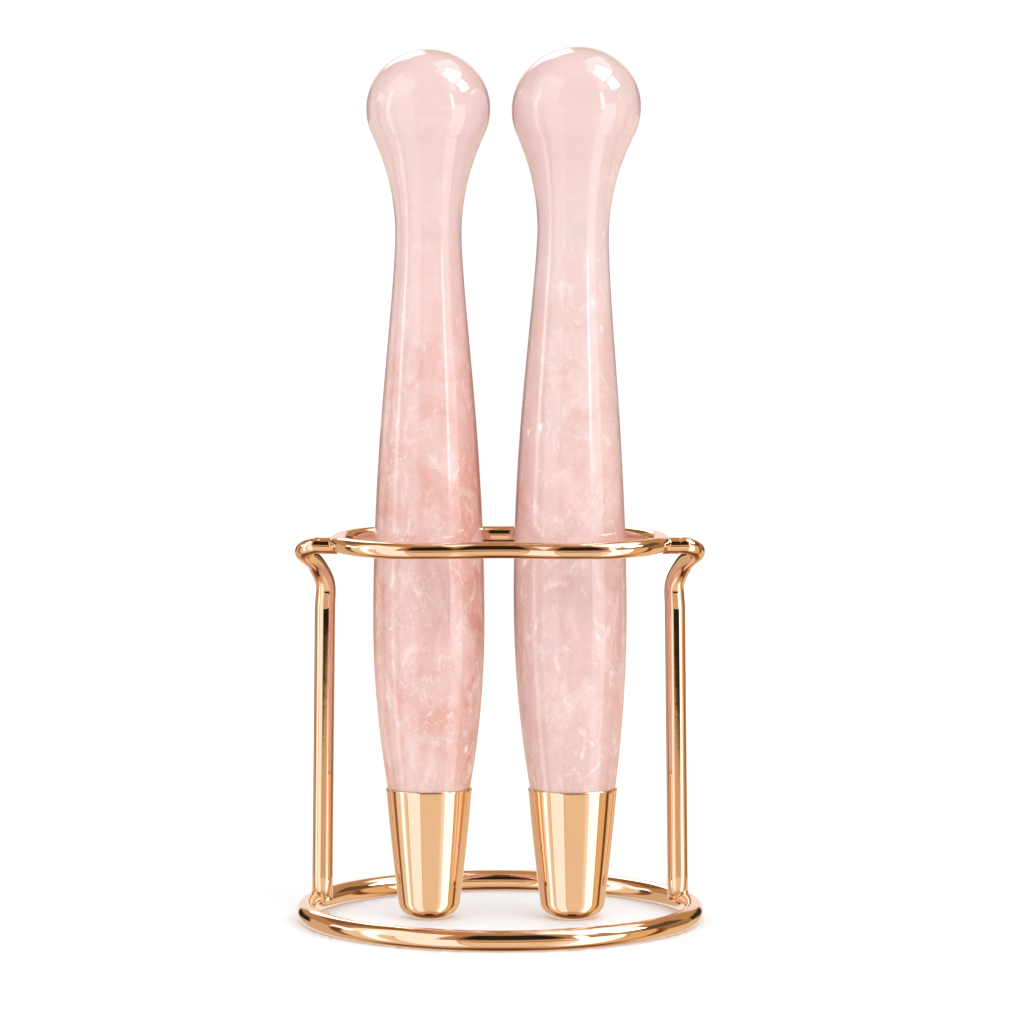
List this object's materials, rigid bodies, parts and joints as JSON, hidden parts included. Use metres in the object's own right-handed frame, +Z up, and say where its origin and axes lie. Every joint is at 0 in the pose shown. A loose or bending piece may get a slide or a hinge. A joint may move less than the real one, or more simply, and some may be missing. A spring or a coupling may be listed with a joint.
{
  "type": "facial massage wand pair with stand",
  "caption": "Pair of turned rose-quartz facial massage wands with rounded metal end caps, standing in a rose-gold wire stand with a base ring and a two-lobed upper loop.",
  "frame": {"origin": "on the table under the middle of the base ring", "axes": "+Z up along the wands, -Y towards the front, +X to the right wand"},
  "size_m": [0.0794, 0.079, 0.1694],
  "materials": {
    "rose_gold": "polished",
    "weld_metal": "gloss",
    "rose_quartz": "polished",
    "adhesive": "satin"
  },
  "bodies": {
    "stand": {"base_ring": "rose_gold", "cradle_loop": "rose_gold", "left_support_wire": "rose_gold", "right_support_wire": "rose_gold", "left_foot_weld": "weld_metal", "right_foot_weld": "weld_metal", "left_loop_weld": "weld_metal", "right_loop_weld": "weld_metal"},
    "left_wand": {"left_stone": "rose_quartz", "left_end_cap": "rose_gold", "left_cap_bond": "adhesive"},
    "right_wand": {"right_stone": "rose_quartz", "right_end_cap": "rose_gold", "right_cap_bond": "adhesive"}
  },
  "joints": [
    {"name": "left_wand_lift", "type": "slide", "parent": "stand", "child": "left_wand", "axis": [0, 0, 1], "range_m": [0, 0.085]},
    {"name": "right_wand_lift", "type": "slide", "parent": "stand", "child": "right_wand", "axis": [0, 0, 1], "range_m": [0, 0.085]}
  ]
}
